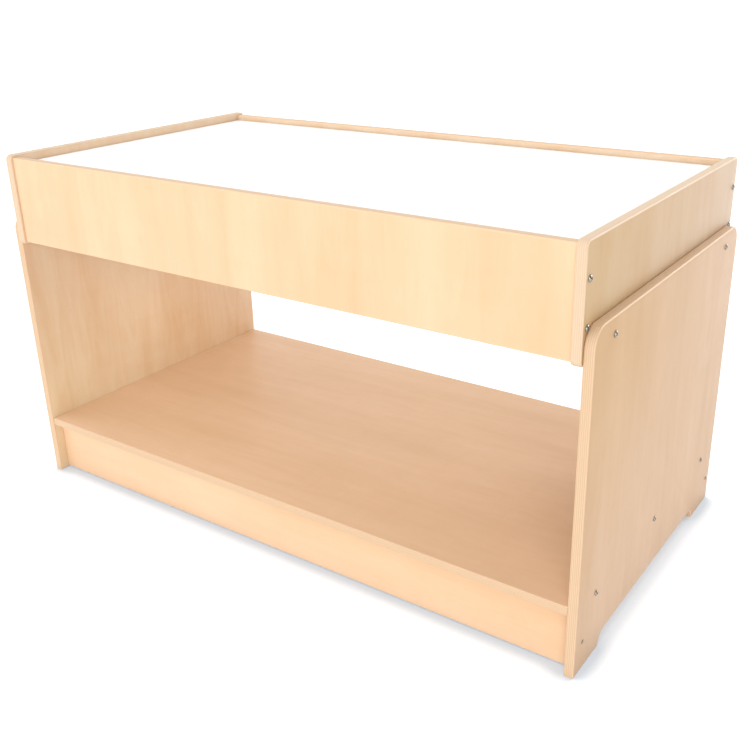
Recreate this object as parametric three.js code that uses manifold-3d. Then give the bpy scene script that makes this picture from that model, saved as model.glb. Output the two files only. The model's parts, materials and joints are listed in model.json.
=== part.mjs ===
// Sand and water play table in birch plywood. A boxed top stands between two side panels over a low shelf.
// A moulded tub with a drain rests on ledger strips inside the box, under a white cover that lifts off.
// Millimetres, +Z up, X along the table. The front faces -Y. The origin is on the floor under the middle.

import * as THREE from 'three';
import { mergeVertices } from 'three/addons/utils/BufferGeometryUtils.js';
import Module from 'manifold-3d';

const wasm = await Module();
wasm.setup();

// Driving dimensions of the wooden frame.
const LENGTH = 1219; // over the outer faces of the side panels
const DEPTH = 633; // over the faces of the aprons, and over the edges of the side panels
const HEIGHT = 681; // floor to the top of the box's end panels
const PLY = 16;
const REVEAL = 5; // the end panels stand proud of the aprons by this much, all round
const APRON_HEIGHT = 164;
const SIDE_HEIGHT = 564;
const SHELF_TOP = 124;
const SHELF_INSET = 2; // from the edges of the side panels
const RAIL_FLOOR_GAP = 2;
const FRONT_RAIL_INSET = 20;
const REAR_RAIL_INSET = 9.5;
const GAP = 0.3; // between pieces that touch

// Corners and edges of the boards.
const SIDE_CORNER = 32;
const END_CORNER = 11;
const EASE = 2.5; // rounded-over edge
const BEVEL_STEPS = 2;
const EASE_STEPS = 1; // half the facets in each eased corner of a section
const THIN_EASE = 1; // on the edges of the cover and of the tub's flange
const CURVE_STEPS = 4; // half the facets in each quarter turn
const FOOT_LENGTH = 92;
const TOE_HEIGHT = 22;

// Ledgers, cover and tub.
const LEDGER_WIDTH = 19;
const LEDGER_HEIGHT = 25;
const LONG_LEDGER_LENGTH = 1040; // stops short of the barrel nuts
const COVER_TOP = 665;
const COVER_THICKNESS = 8;
const COVER_CLEARANCE = 2.2; // to the box, all round
const COVER_CORNER = 3;
const TUB_CLEARANCE = 2.8; // from the flange to the box
const TUB_WALL = 4;
const TUB_FLOOR = 536; // underside
const TUB_CORNER = 60;
const TUB_BOTTOM_ROUND = 18;
const TUB_DRAFT = 0.07; // sideways per unit of depth
const FLANGE_CORNER = 8;

// Drain, in the middle of the tub's floor.
const DRAIN_SIDES = 20;
const DRAIN_TUBE_RADIUS = 14.6;
const DRAIN_BORE_RADIUS = 11;
const DRAIN_TUBE_END = 514;
const DRAIN_FLANGE_RADIUS = 28;
const DRAIN_FLANGE_THICKNESS = 3;
const DRAIN_CLEARANCE = 0.5;
const GASKET_THICKNESS = 1.5;
const GASKET_RADIUS = 26;
const HEX_SIDES = 6;
const NUT_HEX_RADIUS = 25;
const NUT_THICKNESS = 8;
const PLUG_RADIUS = 10.4;
const PLUG_LENGTH = 18;
const PLUG_CAP_RADIUS = 17;
const PLUG_CAP_THICKNESS = 2.5;
const PLUG_KNOB_RADIUS = 6;
const PLUG_KNOB_HEIGHT = 9;
const PLUG_TIP_TAPER = 1; // off the radius, over twice this height
const CAP_TAPER = 0.8;

// Fasteners: shank radius, length under the head, head radius and height, and bore radius.
const BORE_SIDES = 10;
const FASTENER_SIDES = 10;
const APRON_BOLT = { shank: 3, length: 54, head: 5.2, crown: 2.6, bore: 3.3 };
const SIDE_BOLT = { shank: 3, length: 31, head: 5.2, crown: 2.6, bore: 3.3 };
const SHELF_SCREW = { shank: 2.5, length: 50, head: 4.6, crown: 2.2, bore: 2.8 };
const RAIL_SCREW = { shank: 2, length: 45, head: 3.6, crown: 1.7, bore: 2.3 };
const UPPER_BOLT_RISE = 35; // above the middle of the apron
const LOWER_BOLT_DROP = 33; // below it, just clear of the side panel's round corner
const SIDE_BOLT_HEIGHT = 537;
const SIDE_BOLT_SPREAD = 248; // in front of and behind the middle of the side panel
const SHELF_SCREW_PLACES = { front: -248, middle: 0, rear: 248 };
const RAIL_SCREW_HEIGHT = 52;
const BARREL_RADIUS = 5;
const BARREL_LENGTH = 12;
const BARREL_INSET = 30; // from the apron's end to the barrel nut's axis
const TNUT_BARREL_RADIUS = 4.4;
const TNUT_BARREL_LENGTH = 10;
const TNUT_FLANGE_RADIUS = 9.5;
const TNUT_FLANGE_THICKNESS = 1.5;
const BORE_CLEARANCE = 0.3;
const BORE_PAST_TIP = 2; // how much deeper a bore is than its fastener
const THROUGH_PLY = 2 * PLY; // a borer this long, centred in a board, goes right through it

// Places worked out from the dimensions above.
const SIDE_OUTER = LENGTH / 2;
const SIDE_INNER = SIDE_OUTER - PLY;
const END_OUTER = SIDE_INNER - GAP;
const END_INNER = END_OUTER - PLY;
const HALF_DEPTH = DEPTH / 2;
const APRON_Y = HALF_DEPTH - PLY / 2; // its middle plane
const APRON_INNER = HALF_DEPTH - PLY;
const APRON_HALF_LENGTH = END_INNER - GAP;
const APRON_TOP = HEIGHT - REVEAL;
const APRON_MIDDLE = APRON_TOP - APRON_HEIGHT / 2;
const END_HEIGHT = APRON_HEIGHT + 2 * REVEAL;
const SHELF_MIDDLE = SHELF_TOP - PLY / 2;
const RAIL_TOP = SHELF_TOP - PLY - GAP;
const RAIL_HEIGHT = RAIL_TOP - RAIL_FLOOR_GAP;
const RAIL_MIDDLE = RAIL_TOP - RAIL_HEIGHT / 2;
const FRONT_RAIL_Y = -(HALF_DEPTH - FRONT_RAIL_INSET - PLY / 2);
const REAR_RAIL_Y = HALF_DEPTH - REAR_RAIL_INSET - PLY / 2;
const CROSS_HALF_LENGTH = SIDE_INNER - GAP;
const FLANGE_TOP = COVER_TOP - COVER_THICKNESS - GAP;
const LEDGER_TOP = FLANGE_TOP - TUB_WALL - GAP;
const LEDGER_Y = APRON_INNER - GAP - LEDGER_WIDTH / 2;
const LEDGER_X = END_INNER - GAP - LEDGER_WIDTH / 2;
const SHORT_LEDGER_LENGTH = 2 * (APRON_INNER - 2 * GAP - LEDGER_WIDTH);
const TUB_FLOOR_TOP = TUB_FLOOR + TUB_WALL;
const DRAIN_FLANGE_BASE = TUB_FLOOR_TOP + GASKET_THICKNESS + 2 * GAP;
const DRAIN_FLANGE_TOP = DRAIN_FLANGE_BASE + DRAIN_FLANGE_THICKNESS;
const DRAIN_HOLE_RADIUS = DRAIN_TUBE_RADIUS + DRAIN_CLEARANCE;

const MATERIALS = {
  birch: new THREE.MeshStandardMaterial({ color: 0xf2d9b2, roughness: 0.45, metalness: 0 }),
  softwood: new THREE.MeshStandardMaterial({ color: 0xe2c69a, roughness: 0.7, metalness: 0 }),
  laminate: new THREE.MeshStandardMaterial({ color: 0xf8f8f6, roughness: 0.22, metalness: 0 }),
  tubPlastic: new THREE.MeshStandardMaterial({ color: 0xeef0f0, roughness: 0.35, metalness: 0 }),
  drainPlastic: new THREE.MeshStandardMaterial({ color: 0xd9dadb, roughness: 0.5, metalness: 0 }),
  rubber: new THREE.MeshStandardMaterial({ color: 0x2c2d2f, roughness: 0.85, metalness: 0 }),
  steel: new THREE.MeshStandardMaterial({ color: 0xb9bab8, roughness: 0.3, metalness: 0.9 }),
};

const X_AXIS = new THREE.Vector3(1, 0, 0);
const Y_AXIS = new THREE.Vector3(0, 1, 0);
const Z_AXIS = new THREE.Vector3(0, 0, 1);

// Turns a shape's own right, up and extrusion directions to the named extrusion axis.
const TURN_TO = {
  x: new THREE.Matrix4().makeBasis(Y_AXIS, Z_AXIS, X_AXIS),
  y: new THREE.Matrix4().makeBasis(Z_AXIS, X_AXIS, Y_AXIS),
  z: new THREE.Matrix4(),
};

function solidOf(geometry) {
  const bare = geometry.clone();
  bare.deleteAttribute('normal');
  bare.deleteAttribute('uv');
  const merged = mergeVertices(bare, 1e-4);
  return new wasm.Manifold(new wasm.Mesh({
    numProp: 3,
    vertProperties: Float32Array.from(merged.attributes.position.array),
    triVerts: Uint32Array.from(merged.index.array),
  }));
}

function geometryOf(solid) {
  const mesh = solid.getMesh();
  const geometry = new THREE.BufferGeometry();
  geometry.setAttribute('position', new THREE.BufferAttribute(mesh.vertProperties, 3));
  geometry.setIndex(new THREE.BufferAttribute(mesh.triVerts, 1));
  return geometry;
}

function cut(geometry, tools) {
  let solid = solidOf(geometry);
  for (const tool of tools) {
    solid = solid.subtract(solidOf(tool));
  }
  return geometryOf(solid);
}

// A rectangle about the origin with rounded corners.
function roundedRectangle(width, height, radius) {
  const x = width / 2 - radius;
  const y = height / 2 - radius;
  const shape = new THREE.Shape();
  shape.absarc(x, -y, radius, -Math.PI / 2, 0);
  shape.absarc(x, y, radius, 0, Math.PI / 2);
  shape.absarc(-x, y, radius, Math.PI / 2, Math.PI);
  shape.absarc(-x, -y, radius, Math.PI, Math.PI * 1.5);
  shape.closePath();
  return shape;
}

// A shape extruded about its middle along an axis, with its outline eased at both ends if asked.
function extruded(shape, length, axis, ease = 0, curveSegments = CURVE_STEPS) {
  const geometry = new THREE.ExtrudeGeometry(shape, {
    depth: length - 2 * ease,
    bevelEnabled: ease > 0,
    bevelThickness: ease,
    bevelSize: ease,
    bevelOffset: -ease,
    bevelSegments: BEVEL_STEPS,
    curveSegments,
  });
  geometry.translate(0, 0, ease - length / 2);
  return geometry.applyMatrix4(TURN_TO[axis]);
}

// A board whose section is width by height, square at its ends, with its four long edges eased.
function board(length, width, height, axis = 'x') {
  const section = axis === 'y' ? [height, width] : [width, height];
  return extruded(roundedRectangle(...section, EASE), length, axis, 0, EASE_STEPS);
}

function borer(radius, length, axis, centre, sides = BORE_SIDES) {
  const cylinder = new THREE.CylinderGeometry(radius, radius, length, sides);
  if (axis === 'x') {
    cylinder.rotateZ(Math.PI / 2);
  }
  if (axis === 'z') {
    cylinder.rotateX(Math.PI / 2);
  }
  return cylinder.translate(...centre);
}

function addPiece(group, name, geometry, material, position = [0, 0, 0]) {
  const mesh = new THREE.Mesh(geometry, material);
  mesh.name = name;
  mesh.position.set(...position);
  group.add(mesh);
  return mesh;
}

// Left is -X and right is +X; front is -Y and rear is +Y. The levels are heights from the apron's middle.
const SIDES = [['left', -1], ['right', 1]];
const FACES = [['front', -1], ['rear', 1]];
const LEVELS = [['lower', -LOWER_BOLT_DROP], ['upper', UPPER_BOLT_RISE]];

// The side panels stand on two feet each, with a toe recess between them.
function sidePanelShape() {
  const inner = HALF_DEPTH - FOOT_LENGTH;
  const shoulder = SIDE_HEIGHT - SIDE_CORNER;
  const shape = new THREE.Shape();
  shape.moveTo(-HALF_DEPTH, 0);
  shape.lineTo(-inner, 0);
  shape.absarc(-inner + TOE_HEIGHT, 0, TOE_HEIGHT, Math.PI, Math.PI / 2, true);
  shape.absarc(inner - TOE_HEIGHT, 0, TOE_HEIGHT, Math.PI / 2, 0, true);
  shape.lineTo(HALF_DEPTH, 0);
  shape.absarc(HALF_DEPTH - SIDE_CORNER, shoulder, SIDE_CORNER, 0, Math.PI / 2);
  shape.absarc(SIDE_CORNER - HALF_DEPTH, shoulder, SIDE_CORNER, Math.PI / 2, Math.PI);
  shape.closePath();
  return shape;
}

function addSidePanels(group) {
  for (const [side, sign] of SIDES) {
    const bores = [];
    for (const [, face] of FACES) {
      bores.push(borer(SIDE_BOLT.bore, THROUGH_PLY, 'x', [0, face * SIDE_BOLT_SPREAD, SIDE_BOLT_HEIGHT]));
    }
    for (const y of Object.values(SHELF_SCREW_PLACES)) {
      bores.push(borer(SHELF_SCREW.bore, THROUGH_PLY, 'x', [0, y, SHELF_MIDDLE]));
    }
    for (const y of [FRONT_RAIL_Y, REAR_RAIL_Y]) {
      bores.push(borer(RAIL_SCREW.bore, THROUGH_PLY, 'x', [0, y, RAIL_SCREW_HEIGHT]));
    }
    const panel = cut(extruded(sidePanelShape(), PLY, 'x', EASE), bores);
    addPiece(group, `${side}_side_panel`, panel, MATERIALS.birch, [sign * (SIDE_OUTER - PLY / 2), 0, 0]);
  }
}

// The end panels close the box and stand a little proud of the aprons on every side.
function addEndPanels(group) {
  for (const [side, sign] of SIDES) {
    const bores = [];
    for (const [, face] of FACES) {
      for (const [, level] of LEVELS) {
        const place = [0, face * APRON_Y, level];
        bores.push(borer(APRON_BOLT.bore, THROUGH_PLY, 'x', place));
      }
      const boltPlace = [0, face * SIDE_BOLT_SPREAD, SIDE_BOLT_HEIGHT - APRON_MIDDLE];
      bores.push(borer(TNUT_BARREL_RADIUS + BORE_CLEARANCE, THROUGH_PLY, 'x', boltPlace));
    }
    const outline = roundedRectangle(DEPTH + 2 * REVEAL, END_HEIGHT, END_CORNER);
    const panel = cut(extruded(outline, PLY, 'x', EASE), bores);
    const place = [sign * (END_OUTER - PLY / 2), 0, APRON_MIDDLE];
    addPiece(group, `${side}_end_panel`, panel, MATERIALS.birch, place);
  }
}

// Each apron takes two bolts in each end, which draw on barrel nuts let in from its inner face.
function addAprons(group) {
  const boltDepth = APRON_BOLT.length - PLY + BORE_PAST_TIP;
  const pocketDepth = (PLY + BARREL_LENGTH) / 2 + GAP;
  for (const [face, sign] of FACES) {
    const bores = [];
    for (const [, end] of SIDES) {
      for (const [, z] of LEVELS) {
        bores.push(borer(APRON_BOLT.bore, 2 * boltDepth, 'x', [end * APRON_HALF_LENGTH, 0, z]));
        const pocket = [end * (APRON_HALF_LENGTH - BARREL_INSET), -sign * PLY / 2, z];
        bores.push(borer(BARREL_RADIUS + BORE_CLEARANCE, 2 * pocketDepth, 'y', pocket));
      }
    }
    const apron = cut(board(2 * APRON_HALF_LENGTH, PLY, APRON_HEIGHT), bores);
    addPiece(group, `${face}_apron`, apron, MATERIALS.birch, [0, sign * APRON_Y, APRON_MIDDLE]);
  }
}

// The shelf spans the side panels and lies on a front and a rear rail.
function addShelf(group) {
  const screwDepth = SHELF_SCREW.length - PLY + BORE_PAST_TIP;
  const bores = [];
  for (const [, end] of SIDES) {
    for (const y of Object.values(SHELF_SCREW_PLACES)) {
      bores.push(borer(SHELF_SCREW.bore, 2 * screwDepth, 'x', [end * CROSS_HALF_LENGTH, y, 0]));
    }
  }
  const shelf = cut(board(2 * CROSS_HALF_LENGTH, DEPTH - 2 * SHELF_INSET, PLY), bores);
  addPiece(group, 'shelf_panel', shelf, MATERIALS.birch, [0, 0, SHELF_MIDDLE]);
}

function addRails(group) {
  const screwDepth = RAIL_SCREW.length - PLY + BORE_PAST_TIP;
  for (const [face, y] of [['front', FRONT_RAIL_Y], ['rear', REAR_RAIL_Y]]) {
    const bores = [];
    for (const [, end] of SIDES) {
      const place = [end * CROSS_HALF_LENGTH, 0, RAIL_SCREW_HEIGHT - RAIL_MIDDLE];
      bores.push(borer(RAIL_SCREW.bore, 2 * screwDepth, 'x', place));
    }
    const rail = cut(board(2 * CROSS_HALF_LENGTH, PLY, RAIL_HEIGHT), bores);
    addPiece(group, `${face}_rail`, rail, MATERIALS.birch, [0, y, RAIL_MIDDLE]);
  }
}

// Glued strips round the inside of the box, which carry the tub's flange.
function addLedgers(group) {
  const z = LEDGER_TOP - LEDGER_HEIGHT / 2;
  for (const [face, sign] of FACES) {
    const strip = board(LONG_LEDGER_LENGTH, LEDGER_WIDTH, LEDGER_HEIGHT);
    addPiece(group, `${face}_ledger`, strip, MATERIALS.softwood, [0, sign * LEDGER_Y, z]);
  }
  for (const [side, sign] of SIDES) {
    const strip = board(SHORT_LEDGER_LENGTH, LEDGER_WIDTH, LEDGER_HEIGHT, 'y');
    addPiece(group, `${side}_ledger`, strip, MATERIALS.softwood, [sign * LEDGER_X, 0, z]);
  }
}

// A pan-head bolt or screw along Y, with the underside of its head at the origin and its head towards +Y.
function fastenerGeometry({ shank, length, head, crown }) {
  const tip = shank * 0.4;
  const rim = crown * 0.4;
  const shoulder = [head * 0.65, crown * 0.92];
  const profile = [
    [0, -length],
    [shank - tip, -length],
    [shank, tip - length],
    [shank, 0],
    [head, 0],
    [head, rim],
    shoulder,
    [0, crown],
  ];
  return new THREE.LatheGeometry(profile.map(([x, y]) => new THREE.Vector2(x, y)), FASTENER_SIDES);
}

// Places a fastener in the table's left or right end with its head outwards.
function addFastener(group, name, size, end, faceX, y, z) {
  const mesh = addPiece(group, name, fastenerGeometry(size), MATERIALS.steel, [end * (faceX + GAP), y, z]);
  mesh.rotation.z = -end * Math.PI / 2;
}

// A round nut across the apron's thickness, with a cross hole for the bolt.
function barrelNutGeometry() {
  const barrel = new THREE.CylinderGeometry(BARREL_RADIUS, BARREL_RADIUS, BARREL_LENGTH, FASTENER_SIDES);
  return cut(barrel, [borer(APRON_BOLT.bore, 4 * BARREL_RADIUS, 'x', [0, 0, 0])]);
}

function addApronFasteners(group) {
  for (const [face, front] of FACES) {
    for (const [side, end] of SIDES) {
      for (const [height, level] of LEVELS) {
        const place = `${face}_${side}_${height}`;
        const y = front * APRON_Y;
        const z = APRON_MIDDLE + level;
        addFastener(group, `apron_bolt_${place}`, APRON_BOLT, end, END_OUTER, y, z);
        const nutX = end * (APRON_HALF_LENGTH - BARREL_INSET);
        addPiece(group, `barrel_nut_${place}`, barrelNutGeometry(), MATERIALS.steel, [nutX, y, z]);
      }
    }
  }
}

// A flanged insert nut along Y: its barrel points to -Y and its flange's underside is at the origin.
function tNutGeometry() {
  const profile = [
    [SIDE_BOLT.bore, -TNUT_BARREL_LENGTH],
    [TNUT_BARREL_RADIUS, -TNUT_BARREL_LENGTH],
    [TNUT_BARREL_RADIUS, 0],
    [TNUT_FLANGE_RADIUS, 0],
    [TNUT_FLANGE_RADIUS, TNUT_FLANGE_THICKNESS],
    [SIDE_BOLT.bore, TNUT_FLANGE_THICKNESS],
    [SIDE_BOLT.bore, -TNUT_BARREL_LENGTH],
  ];
  return new THREE.LatheGeometry(profile.map(([x, y]) => new THREE.Vector2(x, y)), FASTENER_SIDES);
}

function addSideFasteners(group) {
  for (const [face, front] of FACES) {
    for (const [side, end] of SIDES) {
      const y = front * SIDE_BOLT_SPREAD;
      addFastener(group, `side_bolt_${face}_${side}`, SIDE_BOLT, end, SIDE_OUTER, y, SIDE_BOLT_HEIGHT);
      const nutPlace = [end * (END_INNER - GAP), y, SIDE_BOLT_HEIGHT];
      const nut = addPiece(group, `t_nut_${face}_${side}`, tNutGeometry(), MATERIALS.steel, nutPlace);
      nut.rotation.z = end * Math.PI / 2;
    }
  }
}

function addShelfFasteners(group) {
  for (const [side, end] of SIDES) {
    for (const [place, y] of Object.entries(SHELF_SCREW_PLACES)) {
      addFastener(group, `shelf_screw_${place}_${side}`, SHELF_SCREW, end, SIDE_OUTER, y, SHELF_MIDDLE);
    }
    for (const [face, y] of [['front', FRONT_RAIL_Y], ['rear', REAR_RAIL_Y]]) {
      addFastener(group, `rail_screw_${face}_${side}`, RAIL_SCREW, end, SIDE_OUTER, y, RAIL_SCREW_HEIGHT);
    }
  }
}

// Draws the points of a geometry in towards the Z axis with their depth below a height.
function draftBelow(geometry, height, halfLength, halfDepth) {
  const position = geometry.attributes.position;
  for (let i = 0; i < position.count; i += 1) {
    const inset = TUB_DRAFT * Math.max(0, height - position.getZ(i));
    position.setX(i, position.getX(i) * (1 - inset / halfLength));
    position.setY(i, position.getY(i) * (1 - inset / halfDepth));
  }
  return geometry;
}

// The tub's outer or inner body, rounded at the bottom. It goes past the rim, where its own top is cut off.
function tubBody(width, depth, corner, floor, bottomRound) {
  const top = FLANGE_TOP + 3 * bottomRound;
  const body = extruded(roundedRectangle(width, depth, corner), top - floor, 'z', bottomRound);
  body.translate(0, 0, (top + floor) / 2);
  return draftBelow(body, FLANGE_TOP, width / 2, depth / 2);
}

function addTub(group) {
  const flangeLength = 2 * (END_INNER - TUB_CLEARANCE);
  const flangeDepth = 2 * (APRON_INNER - TUB_CLEARANCE);
  const bodyLength = 2 * (LEDGER_X - LEDGER_WIDTH / 2 - TUB_WALL);
  const bodyDepth = 2 * (LEDGER_Y - LEDGER_WIDTH / 2 - TUB_WALL);
  const rim = roundedRectangle(flangeLength, flangeDepth, FLANGE_CORNER);
  const flange = extruded(rim, TUB_WALL, 'z', THIN_EASE);
  flange.translate(0, 0, FLANGE_TOP - TUB_WALL / 2);
  const outer = tubBody(bodyLength, bodyDepth, TUB_CORNER, TUB_FLOOR, TUB_BOTTOM_ROUND);
  const innerLength = bodyLength - 2 * TUB_WALL;
  const innerDepth = bodyDepth - 2 * TUB_WALL;
  const innerRound = TUB_BOTTOM_ROUND - TUB_WALL;
  const inner = tubBody(innerLength, innerDepth, TUB_CORNER - TUB_WALL, TUB_FLOOR_TOP, innerRound);
  const belowRim = new THREE.BoxGeometry(LENGTH, DEPTH, FLANGE_TOP);
  belowRim.translate(0, 0, FLANGE_TOP / 2);
  const drainHole = borer(DRAIN_HOLE_RADIUS, 4 * TUB_WALL, 'z', [0, 0, TUB_FLOOR], DRAIN_SIDES);
  const shell = solidOf(outer)
    .intersect(solidOf(belowRim))
    .add(solidOf(flange))
    .subtract(solidOf(inner))
    .subtract(solidOf(drainHole));
  addPiece(group, 'tub', geometryOf(shell), MATERIALS.tubPlastic);
}

// Turned pieces of the drain: the profile lists radius and height, and the lathe's axis is turned to Z.
function turned(profile) {
  const points = profile.map(([radius, height]) => new THREE.Vector2(radius, height));
  return new THREE.LatheGeometry(points, DRAIN_SIDES).rotateX(Math.PI / 2);
}

function ring(inner, outer, low, high) {
  return turned([[inner, low], [outer, low], [outer, high], [inner, high], [inner, low]]);
}

function addDrain(group) {
  const fitting = turned([
    [DRAIN_BORE_RADIUS, DRAIN_TUBE_END],
    [DRAIN_TUBE_RADIUS, DRAIN_TUBE_END],
    [DRAIN_TUBE_RADIUS, DRAIN_FLANGE_BASE],
    [DRAIN_FLANGE_RADIUS, DRAIN_FLANGE_BASE],
    [DRAIN_FLANGE_RADIUS - THIN_EASE, DRAIN_FLANGE_TOP],
    [DRAIN_BORE_RADIUS, DRAIN_FLANGE_TOP],
    [DRAIN_BORE_RADIUS, DRAIN_TUBE_END],
  ]);
  addPiece(group, 'drain_fitting', fitting, MATERIALS.drainPlastic);

  const gasketBase = TUB_FLOOR_TOP + GAP;
  const gasket = ring(DRAIN_HOLE_RADIUS, GASKET_RADIUS, gasketBase, gasketBase + GASKET_THICKNESS);
  addPiece(group, 'drain_gasket', gasket, MATERIALS.rubber);

  const corners = new THREE.EllipseCurve(0, 0, NUT_HEX_RADIUS, NUT_HEX_RADIUS).getPoints(HEX_SIDES);
  const hexagon = new THREE.Shape(corners.slice(0, HEX_SIDES));
  hexagon.holes.push(new THREE.Path().absarc(0, 0, DRAIN_HOLE_RADIUS, 0, Math.PI * 2, true));
  const nut = extruded(hexagon, NUT_THICKNESS, 'z', 0, DRAIN_SIDES / 2);
  addPiece(group, 'drain_nut', nut, MATERIALS.drainPlastic, [0, 0, TUB_FLOOR - GAP - NUT_THICKNESS / 2]);
}

// The stopper stands in the drain, with a knob to pull it up by.
function addPlug(group) {
  const capBase = DRAIN_FLANGE_TOP + GAP;
  const capTop = capBase + PLUG_CAP_THICKNESS;
  const knobTop = capTop + PLUG_KNOB_HEIGHT;
  const neck = PLUG_KNOB_RADIUS * 0.6;
  const neckTop = capTop + PLUG_KNOB_HEIGHT * 0.35;
  const widest = capTop + PLUG_KNOB_HEIGHT * 0.6;
  const plug = turned([
    [0, capBase - PLUG_LENGTH],
    [PLUG_RADIUS - PLUG_TIP_TAPER, capBase - PLUG_LENGTH],
    [PLUG_RADIUS, capBase - PLUG_LENGTH + 2 * PLUG_TIP_TAPER],
    [PLUG_RADIUS, capBase],
    [PLUG_CAP_RADIUS, capBase],
    [PLUG_CAP_RADIUS - CAP_TAPER, capTop],
    [neck + CAP_TAPER, capTop],
    [neck, neckTop],
    [PLUG_KNOB_RADIUS, widest],
    [PLUG_KNOB_RADIUS - CAP_TAPER, knobTop - CAP_TAPER],
    [0, knobTop],
  ]);
  addPiece(group, 'drain_plug', plug, MATERIALS.rubber);
}

function addCover(group) {
  const length = 2 * (END_INNER - COVER_CLEARANCE);
  const depth = 2 * (APRON_INNER - COVER_CLEARANCE);
  const panel = extruded(roundedRectangle(length, depth, COVER_CORNER), COVER_THICKNESS, 'z', THIN_EASE);
  addPiece(group, 'cover_panel', panel, MATERIALS.laminate, [0, 0, COVER_TOP - COVER_THICKNESS / 2]);
}

const frame = new THREE.Group();
addSidePanels(frame);
addEndPanels(frame);
addAprons(frame);
addShelf(frame);
addRails(frame);
addLedgers(frame);
addApronFasteners(frame);
addSideFasteners(frame);
addShelfFasteners(frame);

const tub = new THREE.Group();
addTub(tub);
addDrain(tub);
addPlug(tub);
addCover(tub);

const group = new THREE.Group();
group.add(frame, tub);

export default group;
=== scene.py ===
"""A sand and water table in clear-finished birch plywood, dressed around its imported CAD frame.

Metres, +Z up, in the CAD's own frame. Every board, moulding and fastener takes its place from its CAD
node's box. The aprons have pockets for the barrel nuts. No board has bores for the bolts, screws and
T-nuts, which pass through it out of sight.
"""

import json
import math

import bmesh
import bpy
import numpy as np
from mathutils import Euler, Matrix, Vector


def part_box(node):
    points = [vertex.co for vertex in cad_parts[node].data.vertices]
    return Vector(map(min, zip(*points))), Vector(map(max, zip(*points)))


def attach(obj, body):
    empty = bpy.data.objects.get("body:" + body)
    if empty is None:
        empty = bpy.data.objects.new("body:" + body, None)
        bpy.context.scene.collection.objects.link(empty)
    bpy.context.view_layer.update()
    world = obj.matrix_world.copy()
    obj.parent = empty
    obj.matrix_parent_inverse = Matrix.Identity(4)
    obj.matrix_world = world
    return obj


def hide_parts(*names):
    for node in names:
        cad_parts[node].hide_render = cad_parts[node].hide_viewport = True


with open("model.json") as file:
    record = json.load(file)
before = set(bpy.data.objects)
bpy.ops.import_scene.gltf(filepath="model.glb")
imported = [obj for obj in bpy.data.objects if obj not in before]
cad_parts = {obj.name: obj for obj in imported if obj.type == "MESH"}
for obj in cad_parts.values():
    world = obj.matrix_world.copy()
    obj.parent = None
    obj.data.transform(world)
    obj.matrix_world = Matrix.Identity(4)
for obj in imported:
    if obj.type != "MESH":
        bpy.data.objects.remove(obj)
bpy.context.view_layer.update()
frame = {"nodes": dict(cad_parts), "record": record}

# Boards
PLIES = 11
EASE = 0.0025  # rounded-over edge
EASE_STEPS = 6
ARC_STEPS = 14  # facets in a rounded corner
SIDE_CORNER = 0.032
END_CORNER = 0.011
FOOT_LENGTH = 0.092
TOE_HEIGHT = 0.022
END_CHAMFER = 0.0004
SHARP_ANGLE = 38  # degrees between two faces from which their edge stays crisp
SQUARE = 0.9999  # how closely a normal has to follow an axis for its face to be a broad one

# Nuts and their pockets
POCKET_RADIUS = 0.0053
POCKET_DEPTH = 0.0143
NUT_BORE = 0.0033
BARREL_RADIUS = 0.005
BARREL_HALF_LENGTH = 0.006
BARREL_EASE = 0.0006
SLOT_DEPTH = 0.0014
TNUT_BARREL_RADIUS = 0.0044
TNUT_BARREL_LENGTH = 0.010
TNUT_FLANGE_RADIUS = 0.0095
TNUT_FLANGE_THICKNESS = 0.0015

# Fasteners: head radius, head height, shank radius, length under the head and thread pitch
FASTENERS = {
    "apron_bolt": (0.0052, 0.0026, 0.0030, 0.054, 0.0014),
    "side_bolt": (0.0052, 0.0026, 0.0030, 0.031, 0.0014),
    "shelf_screw": (0.0046, 0.0022, 0.0025, 0.050, 0.0018),
    "rail_screw": (0.0036, 0.0017, 0.0020, 0.045, 0.0016),
}
LONGEST_THREAD = 0.024

# Tub
TUB_WALL = 0.004
TUB_DRAFT = 0.07  # how far the walls lean in, per unit of depth
TUB_CORNER = 0.06
FLANGE_CORNER = 0.008
TUB_FLOOR_ROUND = 0.018
TUB_RIM_ROUND = 0.005
TUB_ARC_STEPS = 10
FLANGE_UNDER_ROUND = 0.003
FLOOR_RING = 0.05  # radius of the round ring in the flat floor, outside the drain hole

# Cover, drain and plug
COVER_CORNER = 0.003
COVER_EASE = 0.001
DRAIN_HOLE = 0.0151
DRAIN_BORE = 0.011
DRAIN_TUBE = 0.0146
DRAIN_FLANGE_THICKNESS = 0.003
DRAIN_RING_PITCH = 0.002
DRAIN_RINGS_TOP = 0.533  # height above the floor
LOCK_NUT_MOUTH = 0.0157
LOCK_NUT_RINGS = 0.0006  # how deep the rings in its hole are
PLUG_LENGTH = 0.018
PLUG_CAP_THICKNESS = 0.0025

# Light: strengths, and angles in degrees
WALLS = 1.25
WALL_RIGHT = 0.0
CEILING = 1.3  # times the walls
LAMP_HEIGHT = 15  # above the horizon
LAMP_TURN = 63  # from +X, towards the front or the rear
LAMP_SIZE = 40  # how wide a lamp seems
FRONT_LAMP = 1.8
REAR_LAMP = 1.5

# Floor: each pair of colours is for full shade and for none
FLOOR_REACH = 60.0
FLOOR_GLOW = 0.70
PAPER = ((0.42, 0.46, 0.50), (0.50, 0.50, 0.505))
GLOW = ((0.38, 0.41, 0.45), (1.0, 1.0, 1.0))
SHADE_REACH = 0.045  # how near a thing has to be to shade the floor
SHADE_RANGE = (0.63, 0.985)  # how open the floor is to the sky at full shade, and at none

AXES = {"x": 0, "y": 1, "z": 2}


# ---------------------------------------------------------------- shapes


def arc(centre, radius, start, end, steps=ARC_STEPS):
    """Points on an arc between two angles in degrees, both ends included."""
    angles = np.radians(np.linspace(start, end, steps + 1))
    return [(centre[0] + radius * math.cos(a), centre[1] + radius * math.sin(a)) for a in angles]


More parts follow.
